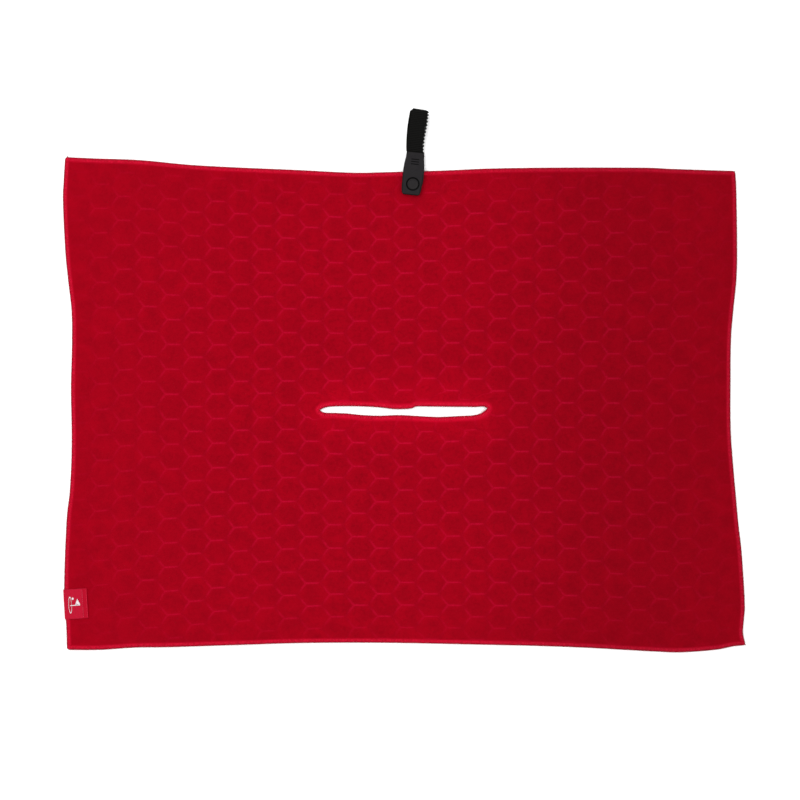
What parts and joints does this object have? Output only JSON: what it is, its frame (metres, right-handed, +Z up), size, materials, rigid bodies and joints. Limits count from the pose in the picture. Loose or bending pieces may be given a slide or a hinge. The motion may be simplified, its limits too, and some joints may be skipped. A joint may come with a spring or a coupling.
{
  "type": "golf towel",
  "caption": "Rectangular microfibre golf towel with overlocked edges, a central slit, a folded side label and a webbing bag loop that closes with a snap tab.",
  "frame": {"origin": "middle of the whole towel's box in X and Y, strap included, at the height of the cloth's underside", "axes": "+X along the towel's long side, away from the side that carries the label; +Y from the towel towards its strap; +Z up out of the cloth's front"},
  "size_m": [0.7722, 0.6162, 0.0092],
  "materials": {
    "cloth": "matte",
    "thread": "matte",
    "label": "satin",
    "webbing": "matte",
    "tab": "matte",
    "snap_black": "satin",
    "snap_steel": "satin"
  },
  "bodies": {
    "towel": {"towel_cloth": "cloth", "edge_overlock_top": "thread", "edge_overlock_right": "thread", "edge_overlock_bottom": "thread", "edge_overlock_left": "thread", "slit_overlock": "thread", "side_label": "label", "label_seam": "thread", "webbing_back_run": "webbing", "bar_tack_low": "webbing", "bar_tack_high": "webbing", "snap_post": "snap_black", "snap_stud": "snap_steel"},
    "front_run": {"webbing_front_run": "webbing"},
    "snap_tab": {"tab_front_cover": "tab", "tab_back_cover": "tab", "webbing_tab_end": "webbing", "snap_cap": "snap_black", "snap_socket": "snap_steel", "snap_spring": "snap_steel"}
  },
  "joints": [
    {"name": "loop_unfold", "type": "hinge", "parent": "towel", "child": "front_run", "pos_m": [0.01837, 0.30725, 0.0046], "axis": [-0.9949, 0.1011, 0], "range_deg": [0, 170]},
    {"name": "tab_peel", "type": "hinge", "parent": "front_run", "child": "snap_tab", "pos_m": [0.01362, 0.26044, 0.00515], "axis": [-0.9949, 0.1011, 0], "range_deg": [0, 115]}
  ]
}
